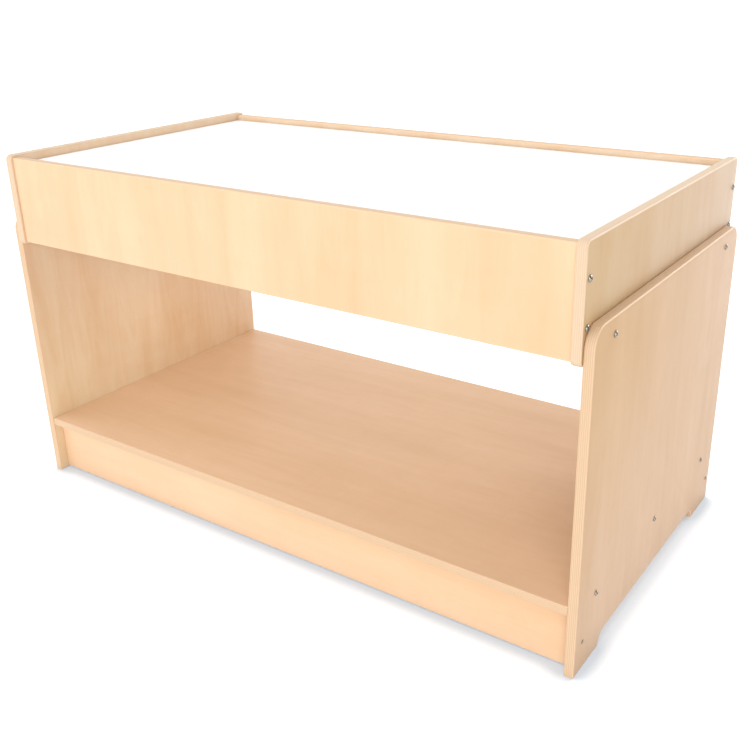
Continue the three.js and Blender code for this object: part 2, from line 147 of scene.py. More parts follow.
def rounded_rectangle(low, high, radius, steps=ARC_STEPS):
    """An anticlockwise outline from corner to corner, with arcs of one radius."""
    (x0, y0), (x1, y1) = low, high
    return (
        arc((x1 - radius, y0 + radius), radius, -90, 0, steps)
        + arc((x1 - radius, y1 - radius), radius, 0, 90, steps)
        + arc((x0 + radius, y1 - radius), radius, 90, 180, steps)
        + arc((x0 + radius, y0 + radius), radius, 180, 270, steps)
    )


def inset(outline, distance):
    """An anticlockwise outline moved inwards, with mitred corners."""
    points = np.array(outline, float)
    edges = np.roll(points, -1, 0) - points
    normals = np.stack([-edges[:, 1], edges[:, 0]], 1) / np.linalg.norm(edges, axis=1)[:, None]
    before = np.roll(normals, 1, 0)
    mitres = (normals + before) / (1 + (normals * before).sum(1, keepdims=True))
    return points + distance * mitres


def laid(outline, depth, axis):
    """Puts an outline at a depth along an axis. Its own two directions are the other two axes, in order."""
    return np.insert(np.array(outline, float), AXES[axis], depth, axis=1)


def loft(name, rings, materials, capped=True, slot_of=None):
    """A closed mesh over rings of equally many points. Without caps, the last ring joins the first one.

    slot_of gives a face's material slot, and whether it is smooth, from its normal.
    """
    count = len(rings[0])
    spans = len(rings) - 1 if capped else len(rings)
    faces = []
    for ring in range(spans):
        here, there = ring * count, (ring + 1) % len(rings) * count
        for i in range(count):
            j = (i + 1) % count
            faces.append((here + i, here + j, there + j, there + i))
    if capped:
        faces.append(tuple(range(count)))
        faces.append(tuple(range((len(rings) - 1) * count, len(rings) * count)))
    mesh = bpy.data.meshes.new(name)
    mesh.from_pydata(np.concatenate(rings).tolist(), [], faces)
    for material in materials:
        mesh.materials.append(material)
    work = bmesh.new()
    work.from_mesh(mesh)
    bmesh.ops.recalc_face_normals(work, faces=work.faces)
    for face in work.faces:
        face.smooth = True
        if slot_of:
            face.material_index, face.smooth = slot_of(face.normal)
    work.to_mesh(mesh)
    work.free()
    mesh.set_sharp_from_angle(angle=math.radians(SHARP_ANGLE))
    obj = bpy.data.objects.new(name, mesh)
    bpy.context.scene.collection.objects.link(obj)
    return obj


def turned(name, profile, material, segments=64, closed=True):
    """A turned piece on the Z axis from (radius, height) points. A closed profile goes round a hole."""
    angles = np.linspace(0, 2 * math.pi, segments, endpoint=False)
    rings = []
    for radius, z in profile:
        rings.append(np.stack([radius * np.cos(angles), radius * np.sin(angles), np.full(segments, z)], 1))
    return loft(name, rings, [material], capped=not closed)


def finish_piece(obj, node):
    """Gives a piece its CAD node's body and place in the table."""
    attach(obj, body_of(node))
    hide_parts(node)
    return obj


def body_of(node):
    return next(body for body, nodes in frame["record"]["behaviour"]["bodies"].items() if node in nodes)


def subtract(obj, cutters):
    """Cuts pieces out of one, and removes them."""
    for cutter in cutters:
        modifier = obj.modifiers.new("cut", "BOOLEAN")
        modifier.operation = "DIFFERENCE"
        modifier.solver = "EXACT"
        modifier.object = cutter
    graph = bpy.context.evaluated_depsgraph_get()
    cut = bpy.data.meshes.new_from_object(obj.evaluated_get(graph))
    obj.modifiers.clear()
    obj.data = cut
    for cutter in cutters:
        bpy.data.objects.remove(cutter)


# ---------------------------------------------------------------- materials


class Nodes:
    """A short way to build a material's node tree."""

    def __init__(self, name):
        self.material = bpy.data.materials.new(name)
        self.material.use_nodes = True
        self.tree = self.material.node_tree
        self.shader = self.tree.nodes["Principled BSDF"]

    def add(self, kind, inputs=None, **settings):
        node = self.tree.nodes.new(kind)
        for key, value in settings.items():
            setattr(node, key, value)
        for key, value in (inputs or {}).items():
            self.put(node.inputs[key], value)
        return node

    def put(self, socket, value):
        if isinstance(value, bpy.types.NodeSocket):
            self.tree.links.new(value, socket)
        else:
            socket.default_value = value

    def math(self, operation, *values):
        node = self.add("ShaderNodeMath", operation=operation)
        for socket, value in zip(node.inputs, values):
            self.put(socket, value)
        return node.outputs[0]

    def stretched(self, vector, scale):
        """A vector multiplied along each axis."""
        node = self.add("ShaderNodeVectorMath", {0: vector, 1: scale}, operation="MULTIPLY")
        return node.outputs[0]

    def noise(self, vector, scale=1.0, detail=3.0, roughness=0.5, distortion=0.0):
        inputs = {
            "Vector": vector,
            "Scale": scale,
            "Detail": detail,
            "Roughness": roughness,
            "Distortion": distortion,
        }
        return self.add("ShaderNodeTexNoise", inputs).outputs["Fac"]

    def ranged(self, value, from_low, from_high, to_low, to_high):
        inputs = {
            "Value": value,
            "From Min": from_low,
            "From Max": from_high,
            "To Min": to_low,
            "To Max": to_high,
        }
        return self.add("ShaderNodeMapRange", inputs, clamp=True).outputs["Result"]

    def mixed(self, share, first, second, blend="MIX"):
        node = self.add("ShaderNodeMix", data_type="RGBA", blend_type=blend)
        self.put(node.inputs[0], share)
        self.put(node.inputs[6], first)
        self.put(node.inputs[7], second)
        return node.outputs[2]

    def bump(self, height, distance, strength):
        inputs = {"Height": height, "Distance": distance, "Strength": strength}
        self.put(self.shader.inputs["Normal"], self.add("ShaderNodeBump", inputs).outputs["Normal"])

    def shade(self, **inputs):
        names = {
            "colour": "Base Color",
            "roughness": "Roughness",
            "metallic": "Metallic",
            "specular": "Specular IOR Level",
        }
        for key, value in inputs.items():
            self.put(self.shader.inputs[names[key]], value)
        return self.material


def colour(red, green, blue, scale=1.0):
    return (red * scale, green * scale, blue * scale, 1.0)


BIRCH_LIGHT = (0.712, 0.482, 0.308)
BIRCH_DARK = (0.625, 0.395, 0.226)
RIGHT_PAINTED_SHADE = 0.88  # painted shade: the right boards' birch a tone darker, where less light falls
# painted light: the left side panel's birch a tone lighter and paler, where more light falls on its inner
# face
LEFT_PAINTED_LIGHT = 1.06
LEFT_PAINTED_LIGHT_PALENESS = 0.55
# painted sheen: the end panels' birch paler, for the lacquer's sheen; painted light: their top edges paler
END_PAINTED_SHEEN = 0.75
END_EDGE_PAINTED_LIGHT = 0.3
# painted light: the left end panel, the shelf and the front apron each a tone lighter
LEFT_END_PAINTED_LIGHT = 1.08
SHELF_PAINTED_LIGHT = 1.04
FRONT_APRON_PAINTED_LIGHT = 1.04
LEFT_FIGURE = 1.8
RIGHT_FIGURE = 0.6
# painted shade and sheen: the rear apron's birch a tone darker and much paler
REAR_APRON_PAINTED_SHADE = 0.95
REAR_APRON_PAINTED_SHEEN = 0.9
# Painted light and shade: a sheet's colour is multiplied by a factor, from none to all of it over a stretch
# of Y and one of Z. It darkens the right boards towards their upper front and lightens the left side panel
# towards its lower front.
RIGHT_PAINTED_SHADE_DRIFT = ((0.92, 0.865, 0.66), (0.28, -0.32), (0.10, 0.52))
LEFT_PAINTED_LIGHT_DRIFT = ((1.06, 1.15, 1.12), (0.45, -0.32), (0.50, 0.14))
# What the paleness of painted light and sheen blends towards, on faces and on edges
BIRCH_PALE = (0.700, 0.565, 0.420)
EDGE_PALE = (0.66, 0.56, 0.43)
# Wood details; a pair of colours is mixed by a noise
FLECK = (0.46, 0.285, 0.155)
LONG_GRAIN = ((0.64, 0.455, 0.295), (0.60, 0.42, 0.265))
END_GRAIN = ((0.58, 0.40, 0.245), (0.51, 0.345, 0.205))
GLUE_LINE = (0.36, 0.215, 0.115)
OUTER_PLY = (0.70, 0.475, 0.305)
SOFTWOOD = ((0.60, 0.43, 0.24), (0.47, 0.30, 0.14))
_veneers = {}
_edges = {}


def grain_vector(nodes, along):
    """Object coordinates in the order along the grain, across it, and the third way."""
    place = nodes.add("ShaderNodeTexCoord").outputs["Object"]
    parts = nodes.add("ShaderNodeSeparateXYZ", {0: place}).outputs
    order = {"x": (0, 1, 2), "y": (1, 0, 2), "z": (2, 0, 1)}[along]
    return nodes.add("ShaderNodeCombineXYZ", {k: parts[i] for k, i in enumerate(order)}).outputs[0]


def birch_veneer(along, tone=1.0, paleness=0.0, drift=None, figure_weight=1.0):
    """Lacquered rotary-cut birch: soft wavy figure, fine lines along the grain and a few short flecks."""
    key = (along, tone, paleness, drift, figure_weight)
    if key in _veneers:
        return _veneers[key]
    nodes = Nodes(f"birch_veneer_{along}_{round(tone * 100)}_{round(paleness * 100)}")
    grain = grain_vector(nodes, along)
    clouds = nodes.noise(nodes.stretched(grain, (1.8, 5.0, 5.0)), detail=2.0, distortion=0.5)
    broad = nodes.stretched(grain, (1.1, 19.0, 19.0))
    bands = nodes.noise(broad, detail=2.0, roughness=0.45, distortion=0.3)
    wavy = nodes.stretched(grain, (5.0, 30.0, 30.0))
    figure = nodes.noise(wavy, detail=4.0, roughness=0.55, distortion=1.6)
    lines = nodes.noise(nodes.stretched(grain, (20.0, 540.0, 540.0)), detail=3.0, roughness=0.6)
    ripple = nodes.noise(nodes.stretched(grain, (30.0, 9.0, 9.0)), detail=1.0, distortion=0.8)
    flecks = nodes.noise(nodes.stretched(grain, (95.0, 800.0, 800.0)), detail=0.0)

    share = nodes.ranged(clouds, 0.3, 0.7, -0.04, 0.44)
    share = nodes.math("ADD", share, nodes.ranged(bands, 0.3, 0.7, -0.04, 0.34))
    weighed = nodes.ranged(figure, 0.3, 0.72, -0.04 * figure_weight, 0.2 * figure_weight)
    share = nodes.math("ADD", share, weighed)
    share = nodes.math("ADD", share, nodes.ranged(lines, 0.3, 0.7, -0.03, 0.045))
    share = nodes.math("ADD", share, nodes.ranged(ripple, 0.3, 0.7, -0.05, 0.05))
    # painted light, shade and sheen: paleness washes the wood out and tone makes it lighter or darker
    light = [value * (1 - paleness) + BIRCH_PALE[i] * paleness for i, value in enumerate(BIRCH_LIGHT)]
    wood = nodes.mixed(share, colour(*light, tone), colour(*BIRCH_DARK, tone))
    fleck_share = nodes.ranged(flecks, 0.75, 0.82, 0.0, 0.2)
    wood = nodes.mixed(fleck_share, wood, colour(*FLECK, tone))
    # painted light and shade, multiplied in over a stretch of Y and one of Z
    if drift:
        factor, along_y, along_z = drift
        place = nodes.add("ShaderNodeTexCoord").outputs["Object"]
        parts = nodes.add("ShaderNodeSeparateXYZ", {0: place}).outputs
        forward = nodes.ranged(parts[1], *along_y, 0.0, 1.0)
        upward = nodes.ranged(parts[2], *along_z, 0.0, 1.0)
        wood = nodes.mixed(nodes.math("MULTIPLY", forward, upward), wood, colour(*factor), "MULTIPLY")

    roughness = nodes.ranged(figure, 0.25, 0.75, 0.35, 0.44)
    height = nodes.math("ADD", lines, nodes.math("MULTIPLY", figure, 0.6))
    nodes.bump(height, distance=0.00012, strength=0.3)
    _veneers[key] = nodes.shade(colour=wood, roughness=roughness, specular=0.25)
    return _veneers[key]


def ply_edge(axis, paleness=0.0):
    """The layers in a plywood edge: long-grain and end-grain plies by turns, with thin dark glue lines."""
    key = (axis, paleness)
    if key in _edges:
        return _edges[key]
    nodes = Nodes(f"ply_edge_{axis}_{round(paleness * 100)}")
    coordinates = nodes.add("ShaderNodeTexCoord")
    parts = nodes.add("ShaderNodeSeparateXYZ", {0: coordinates.outputs["Generated"]}).outputs
    place = coordinates.outputs["Object"]
    wander = nodes.noise(place, scale=9.0, detail=2.0)
    depth = nodes.math("ADD", parts[AXES[axis]], nodes.ranged(wander, 0.3, 0.7, -0.006, 0.006))
    ply = nodes.math("MULTIPLY", depth, float(PLIES))
    within = nodes.math("FRACT", ply)
    turn = nodes.math("FLOOR", nodes.math("MODULO", ply, 2.0))
    speckle = nodes.noise(place, scale=1400.0, detail=1.0)
    stretch = tuple(900.0 if a == axis else 60.0 for a in AXES)
    streaks = nodes.noise(nodes.stretched(place, stretch), detail=2.0)

    streak_share = nodes.ranged(streaks, 0.3, 0.7, 0.0, 1.0)
    long_grain = nodes.mixed(streak_share, colour(*LONG_GRAIN[0]), colour(*LONG_GRAIN[1]))
    speckle_share = nodes.ranged(speckle, 0.3, 0.7, 0.0, 1.0)
    end_grain = nodes.mixed(speckle_share, colour(*END_GRAIN[0]), colour(*END_GRAIN[1]))
    wood = nodes.mixed(turn, long_grain, end_grain)
    nearness = nodes.math("MINIMUM", within, nodes.math("SUBTRACT", 1.0, within))
    glue = nodes.ranged(nearness, 0.03, 0.1, 0.4, 0.0)
    wood = nodes.mixed(glue, wood, colour(*GLUE_LINE))
    off_middle = nodes.math("ABSOLUTE", nodes.math("SUBTRACT", depth, 0.5))
    outer = nodes.math("GREATER_THAN", off_middle, 0.5 - 1 / PLIES)
    wood = nodes.mixed(outer, wood, colour(*OUTER_PLY))
    # painted light: paleness washes the edge out towards a pale tone
    wood = nodes.mixed(paleness, wood, colour(*EDGE_PALE))

    height = nodes.math("ADD", nodes.math("MULTIPLY", turn, -0.4), nodes.math("MULTIPLY", speckle, 0.5))
    nodes.bump(height, distance=0.00015, strength=0.5)
    roughness = nodes.ranged(speckle, 0.3, 0.7, 0.4, 0.52)
    _edges[key] = nodes.shade(colour=wood, roughness=roughness, specular=0.4)
    return _edges[key]


def bare_softwood():
    """Planed, unfinished softwood with its grain along X."""
    nodes = Nodes("bare_softwood")
    grain = grain_vector(nodes, "x")
    rings = nodes.noise(nodes.stretched(grain, (2.0, 160.0, 160.0)), detail=3.0, distortion=0.8)
    fibres = nodes.noise(nodes.stretched(grain, (30.0, 900.0, 900.0)), detail=2.0)
    ring_share = nodes.ranged(rings, 0.35, 0.65, 0.0, 1.0)
    wood = nodes.mixed(ring_share, colour(*SOFTWOOD[0]), colour(*SOFTWOOD[1]))
    nodes.bump(nodes.math("ADD", rings, fibres), distance=0.0002, strength=0.5)
    return nodes.shade(colour=wood, roughness=nodes.ranged(fibres, 0.3, 0.7, 0.62, 0.78), specular=0.3)


def moulded(name, base, shade, roughness, texture, depth, specular=0.5):
    """Plastic, rubber or laminate: an even colour that drifts a little, with a fine skin texture."""
    nodes = Nodes(name)
    place = nodes.add("ShaderNodeTexCoord").outputs["Object"]
    drift = nodes.noise(place, scale=4.0, detail=3.0)
    skin = nodes.noise(place, scale=texture, detail=2.0)
    low, high = roughness
    tint = nodes.mixed(nodes.ranged(drift, 0.3, 0.7, 0.0, 1.0), colour(*base), colour(*shade))
    nodes.bump(skin, distance=depth, strength=0.5)
    sheen = nodes.ranged(drift, 0.3, 0.7, low, high)
    return nodes.shade(colour=tint, roughness=sheen, specular=specular)


def plated_steel(name, light, dark):
    """Plated steel with fine tool marks, drifting between a lighter and a darker tone."""
    nodes = Nodes(name)
    place = nodes.add("ShaderNodeTexCoord").outputs["Object"]
    drift = nodes.noise(place, scale=160.0, detail=2.0)
    marks = nodes.noise(nodes.stretched(place, (9000.0, 2500.0, 2500.0)), detail=1.0)
    metal = nodes.mixed(nodes.ranged(drift, 0.3, 0.7, 0.0, 1.0), colour(*light), colour(*dark))
    nodes.bump(marks, distance=0.00003, strength=0.3)
    return nodes.shade(colour=metal, roughness=nodes.ranged(drift, 0.3, 0.7, 0.2, 0.34), metallic=1.0)


MATERIALS = {
    "softwood": bare_softwood(),
    "laminate": moulded(
        "white_laminate",
        base=(0.93, 0.93, 0.925),
        shade=(0.915, 0.915, 0.91),
        roughness=(0.36, 0.44),
        texture=900.0,
        depth=0.00003,
        specular=0.4,
    ),
    "tub": moulded(
        "tub_polyethylene",
        base=(0.86, 0.87, 0.865),
        shade=(0.83, 0.845, 0.845),
        roughness=(0.32, 0.42),
        texture=1300.0,
        depth=0.00006,
    ),
    "drain": moulded(
        "drain_plastic",
        base=(0.55, 0.56, 0.57),
        shade=(0.50, 0.51, 0.525),
        roughness=(0.42, 0.55),
        texture=1500.0,
        depth=0.00006,
    ),
    "rubber": moulded(
        "black_rubber",
        base=(0.026, 0.026, 0.028),
        shade=(0.035, 0.034, 0.034),
        roughness=(0.6, 0.75),
        texture=1100.0,
        depth=0.00008,
        specular=0.35,
    ),
    "zinc": plated_steel("zinc_plate", light=(0.43, 0.395, 0.345), dark=(0.29, 0.26, 0.22)),
    # painted shade: near-black steel for the faces deep in the cross recesses, where shade falls
    "recess": plated_steel("zinc_painted_shade", light=(0.10, 0.085, 0.07), dark=(0.06, 0.05, 0.04)),
}


# ---------------------------------------------------------------- boards


def board(node, outline, axis, veneer, edge):
    """A plywood panel whose whole outline is eased on both faces."""
    low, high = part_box(node)
    start, end = low[AXES[axis]], high[AXES[axis]]
    rings = []
    for angle in np.radians(np.linspace(0, 90, EASE_STEPS + 1)):
        ring = inset(outline, EASE * (1 - math.sin(angle)))
        rings.append(laid(ring, start + EASE * (1 - math.cos(angle)), axis))
    for angle in np.radians(np.linspace(90, 0, EASE_STEPS + 1)):
        ring = inset(outline, EASE * (1 - math.sin(angle)))
        rings.append(laid(ring, end - EASE * (1 - math.cos(angle)), axis))

    def slot_of(normal):
        on_face = abs(normal[AXES[axis]]) > SQUARE
        return (0, False) if on_face else (1, True)

    obj = loft(f"{node}_board", rings, [veneer, edge], slot_of=slot_of)
    return finish_piece(obj, node)


def strip(node, run, face, materials):
    """A strip along one axis, its long edges eased and its two broad faces square to another axis."""
    low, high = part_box(node)
    across = [i for a, i in AXES.items() if a != run]
    section = rounded_rectangle([low[i] for i in across], [high[i] for i in across], EASE, EASE_STEPS)
    start, end = low[AXES[run]], high[AXES[run]]
    rings = [
        laid(inset(section, END_CHAMFER), start, run),
        laid(section, start + END_CHAMFER, run),
        laid(section, end - END_CHAMFER, run),
        laid(inset(section, END_CHAMFER), end, run),
    ]

    def slot_of(normal):
        on_face = abs(normal[AXES[face]]) > SQUARE
        return (0, False) if on_face else (len(materials) - 1, True)

    obj = loft(f"{node}_board", rings, materials, slot_of=slot_of)
    return finish_piece(obj, node)


def side_outline(low, high):
    """Two feet with a toe recess between them, and large round top corners, in Y and Z."""
    front, back = low[1], high[1]
    toe = TOE_HEIGHT
    top = high[2] - SIDE_CORNER
    return (
        [(front, 0.0), (front + FOOT_LENGTH, 0.0)]
        + arc((front + FOOT_LENGTH + toe, 0.0), toe, 180, 90)[1:]
        + arc((back - FOOT_LENGTH - toe, 0.0), toe, 90, 0)
        + [(back, 0.0)]
        + arc((back - SIDE_CORNER, top), SIDE_CORNER, 0, 90)
        + arc((front + SIDE_CORNER, top), SIDE_CORNER, 90, 180)
    )


def make_boards():
    for side in ("left", "right"):
        on_right = side == "right"
        low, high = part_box(f"{side}_side_panel")
        # painted light: the left side panel's veneer is a lighter, paler copy of the birch
        veneer = birch_veneer("z", LEFT_PAINTED_LIGHT, LEFT_PAINTED_LIGHT_PALENESS, LEFT_PAINTED_LIGHT_DRIFT, LEFT_FIGURE)
        # painted shade: the right side panel's veneer is a darker copy of the birch
        if on_right:
            veneer = birch_veneer("z", RIGHT_PAINTED_SHADE, 0.0, RIGHT_PAINTED_SHADE_DRIFT, RIGHT_FIGURE)
        board(f"{side}_side_panel", side_outline(low, high), "x", veneer, ply_edge("x"))
        low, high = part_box(f"{side}_end_panel")
        outline = rounded_rectangle((low.y, low.z), (high.y, high.z), END_CORNER)
        veneer = birch_veneer("z", LEFT_END_PAINTED_LIGHT, END_PAINTED_SHEEN)
        # painted shade: the right end panel's veneer is a darker copy of the birch
        if on_right:
            veneer = birch_veneer("z", RIGHT_PAINTED_SHADE, END_PAINTED_SHEEN, RIGHT_PAINTED_SHADE_DRIFT, RIGHT_FIGURE)
        board(f"{side}_end_panel", outline, "x", veneer, ply_edge("x", END_EDGE_PAINTED_LIGHT))
        strip(f"{side}_ledger", "y", "z", [MATERIALS["softwood"]])
    # painted light on the front apron's veneer; painted shade and sheen on the rear apron's
    front_veneer = birch_veneer("z", FRONT_APRON_PAINTED_LIGHT)
    rear_veneer = birch_veneer("z", REAR_APRON_PAINTED_SHADE, REAR_APRON_PAINTED_SHEEN)
    for face, veneer in (("front", front_veneer), ("rear", rear_veneer)):
        apron = strip(f"{face}_apron", "x", "y", [veneer, ply_edge("y")])
        cut_pockets(apron, face)
        strip(f"{face}_rail", "x", "y", [birch_veneer("x"), ply_edge("y")])
        strip(f"{face}_ledger", "x", "z", [MATERIALS["softwood"]])
    # painted light: the shelf's veneer is a lighter copy of the birch
    strip("shelf_panel", "x", "z", [birch_veneer("x", SHELF_PAINTED_LIGHT), ply_edge("z")])


def cut_pockets(apron, face):
    """Round pockets for the barrel nuts, in the apron's inner face."""
    inward = 1 if face == "front" else -1
    low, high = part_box(f"{face}_apron")
    inner = high.y if face == "front" else low.y
    cutters = []
    for node in nodes_named(f"barrel_nut_{face}"):
        centre = middle(node)
        profile = [(POCKET_RADIUS, 0.0), (POCKET_RADIUS, POCKET_DEPTH + 0.01)]
        cutter = turned("pocket", profile, ply_edge("y"), segments=40, closed=False)
        cutter.rotation_euler = Euler((math.radians(-90 * inward), 0, 0))
        cutter.location = (centre.x, inner - inward * POCKET_DEPTH, centre.z)
        cutters.append(cutter)
    bpy.context.view_layer.update()
    subtract(apron, cutters)


def nodes_named(start):
    return sorted(n for n in frame["nodes"] if n.startswith(start))


def middle(node):
    low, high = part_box(node)
    return (low + high) / 2


# ---------------------------------------------------------------- fasteners


def cross_depth(x, y, size):
    """How deep a cross recess is at a point of a head, from 0 to 1."""
    arm, width = size * 0.58, size * 0.13

    def inside(a, b):
        return smooth_step(width - abs(a), size * 0.05) * smooth_step(arm - abs(b), size * 0.05)

    return max(inside(x, y), inside(y, x))


def slot_depth(x, size):
    """How deep a straight driver slot is at a distance from its middle, from 0 to 1."""
    return smooth_step(size * 0.16 - abs(x), size * 0.05)


def smooth_step(value, width):
    share = min(max(value / width * 0.5 + 0.5, 0.0), 1.0)
    return share * share * (3 - 2 * share)


def fastener(kind, head, crown, shank, length, pitch):
    """A pan-headed screw or bolt on the Z axis, its head's underside at z = 0 and its thread below."""
    segments = 40
    angles = np.linspace(0, 2 * math.pi, segments, endpoint=False)
    turn = angles / (2 * math.pi)
    rings = []

    def ring(radii, heights):
        radii = np.broadcast_to(radii, segments)
        heights = np.broadcast_to(heights, segments)
        rings.append(np.stack([radii * np.cos(angles), radii * np.sin(angles), heights], 1))

    threaded = min(length * 0.55, LONGEST_THREAD)
    point = shank * 1.2
    ring(shank * 0.35, -length)
    for z in np.arange(point - length, threaded - length, pitch / 4):
        wave = np.abs(((z / pitch - turn) % 1) * 2 - 1)
        taper = min(1.0, 0.5 + (z + length) / (3 * point))
        ring(shank * taper * (0.84 + 0.16 * wave), z)
    ring(shank * 0.97, threaded - length + pitch / 2)
    ring(shank * 0.97, -shank * 0.2)
    ring(shank * 1.1, 0.0)
    ring(head * 0.97, 0.0)
    ring(head, crown * 0.12)
    ring(head, crown * 0.3)
    for share in (0.975, 0.93, 0.86, 0.78, 0.7, 0.62, 0.54, 0.46, 0.38, 0.3, 0.22, 0.15, 0.08, 0.02):
        radius = head * share
        dome = crown * (0.3 + 0.7 * math.sqrt(max(0.0, 1 - share**2.6)))
        depths = [cross_depth(radius * math.cos(a), radius * math.sin(a), head) for a in angles]
        ring(radius, dome - crown * 0.75 * np.array(depths))
    screw = loft(kind, rings, [MATERIALS["zinc"], MATERIALS["recess"]])
    # painted shade: faces deep in the cross recess take the near-black steel
    for face in screw.data.polygons:
        x, y, z = face.center
        in_recess = z > 0 and math.hypot(x, y) < head * 0.9 and cross_depth(x, y, head) > 0.5
        face.material_index = int(in_recess)
    return screw


def barrel_nut():
    """A round cross-dowel nut on the Z axis, centred, with a driver slot in its top and a bore along X."""
    radius, half = BARREL_RADIUS, BARREL_HALF_LENGTH
    ease = BARREL_EASE
    segments = 48
    angles = np.linspace(0, 2 * math.pi, segments, endpoint=False)
    rings = []
    for r, z in ((radius - ease, -half), (radius, ease - half), (radius, half - ease)):
        rings.append(np.stack([r * np.cos(angles), r * np.sin(angles), np.full(segments, z)], 1))
    for share in (0.88, 0.84, 0.75, 0.66, 0.56, 0.46, 0.36, 0.27, 0.2, 0.14, 0.08, 0.02):
        r = radius * share
        depths = np.array([slot_depth(r * math.cos(a), radius) for a in angles])
        rings.append(np.stack([r * np.cos(angles), r * np.sin(angles), half - SLOT_DEPTH * depths], 1))
    nut = loft("barrel_nut", rings, [MATERIALS["zinc"]])
    profile = [(NUT_BORE, -0.01), (NUT_BORE, 0.01)]
    bore = turned("bore", profile, MATERIALS["zinc"], segments=32, closed=False)
    bore.rotation_euler = Euler((0, math.radians(90), 0))
    bpy.context.view_layer.update()
    subtract(nut, [bore])
    return nut


def t_nut():
    """A flanged insert nut on the Z axis: its flange's underside is at z = 0 and its barrel below.

    Fine rings in its bore stand for the thread.
    """
    bore, barrel, depth = NUT_BORE, TNUT_BARREL_RADIUS, TNUT_BARREL_LENGTH
    flange, thick = TNUT_FLANGE_RADIUS, TNUT_FLANGE_THICKNESS
    profile = [(bore + 0.0004, -depth), (barrel - 0.0003, -depth), (barrel, 0.0004 - depth), (barrel, 0.0)]
    profile += [(flange - 0.0003, 0.0), (flange, 0.0003)]
    profile += [(flange, thick - 0.0004), (flange - 0.0004, thick)]
    profile += [(bore + 0.0008, thick), (bore, thick - 0.0008)]
    for step in range(1, 16):
        profile.append((bore - 0.0002 * (step % 2), thick - 0.0008 - step * 0.00058))
    profile.append((bore, 0.0004 - depth))
    return turned("t_nut", profile, MATERIALS["zinc"], segments=40)


def copies(pattern, start, place_of):
    """Puts a copy of a pattern at each node whose name has the same start."""
    for node in nodes_named(start):
        copy = bpy.data.objects.new(f"{node}_steel", pattern.data)
        bpy.context.scene.collection.objects.link(copy)
        copy.matrix_world = place_of(node)
        finish_piece(copy, node)
    bpy.data.objects.remove(pattern)


def outward(node):
    return 1 if middle(node).x > 0 else -1


def head_place(crown):
    def place(node):
        low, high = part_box(node)
        end = outward(node)
        x = high.x - crown if end > 0 else low.x + crown
        centre = middle(node)
        # each head's cross stands at an angle of its own
        spin = Matrix.Rotation(math.radians(sum(map(ord, node)) * 37 % 90), 4, "Z")
        turn = Matrix.Rotation(math.radians(90 * end), 4, "Y")
        return Matrix.Translation((x, centre.y, centre.z)) @ turn @ spin

    return place


def barrel_place(node):
    centre = middle(node)
    inward = 1 if centre.y < 0 else -1
    return Matrix.Translation(centre) @ Matrix.Rotation(math.radians(-90 * inward), 4, "X")


def t_nut_place(node):
    low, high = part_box(node)
    end = outward(node)
    thick = TNUT_FLANGE_THICKNESS
    x = low.x + thick if end > 0 else high.x - thick
    centre = middle(node)
    return Matrix.Translation((x, centre.y, centre.z)) @ Matrix.Rotation(math.radians(-90 * end), 4, "Y")


def make_fasteners():
    for kind, (head, crown, shank, length, pitch) in FASTENERS.items():
        pattern = fastener(kind, head, crown, shank, length, pitch)
        copies(pattern, kind, head_place(crown))
    copies(barrel_nut(), "barrel_nut", barrel_place)
    copies(t_nut(), "t_nut", t_nut_place)


# ---------------------------------------------------------------- cover, tub and drain


def make_cover():
    low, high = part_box("cover_panel")
    outline = rounded_rectangle((low.x, low.y), (high.x, high.y), COVER_CORNER)
    ease = COVER_EASE
    rings = []
    for end, way in ((low.z, 1), (high.z, -1)):
        angles = np.radians(np.linspace(0, 90, 6))
        for angle in angles if way > 0 else angles[::-1]:
            ring = inset(outline, ease * (1 - math.sin(angle)))
            rings.append(laid(ring, end + way * ease * (1 - math.cos(angle)), "z"))

    def slot_of(normal):
        return (0, abs(normal.z) < SQUARE)

    obj = loft("cover_panel_laminate", rings, [MATERIALS["laminate"]], slot_of=slot_of)
    return finish_piece(obj, "cover_panel")


def tub_ring(half_x, half_y, radius, z):
    return laid(rounded_rectangle((-half_x, -half_y), (half_x, half_y), radius, TUB_ARC_STEPS), z, "z")


def drain_ring(radius, z, count):
    """A round ring whose points stand halfway between a tub ring's directions and evenly spaced ones."""
    # only the directions of these points are used, in a rectangle of about the tub's proportions
    reference = np.array(rounded_rectangle((-1, -0.6), (1, 0.6), 0.3, TUB_ARC_STEPS))
    angles = np.arctan2(reference[:, 1], reference[:, 0])
    steps = np.unwrap(angles)
    even = np.linspace(steps[0], steps[0] + 2 * math.pi, count, endpoint=False)
    angles = (steps + even) / 2
    return np.stack([radius * np.cos(angles), radius * np.sin(angles), np.full(count, z)], 1)


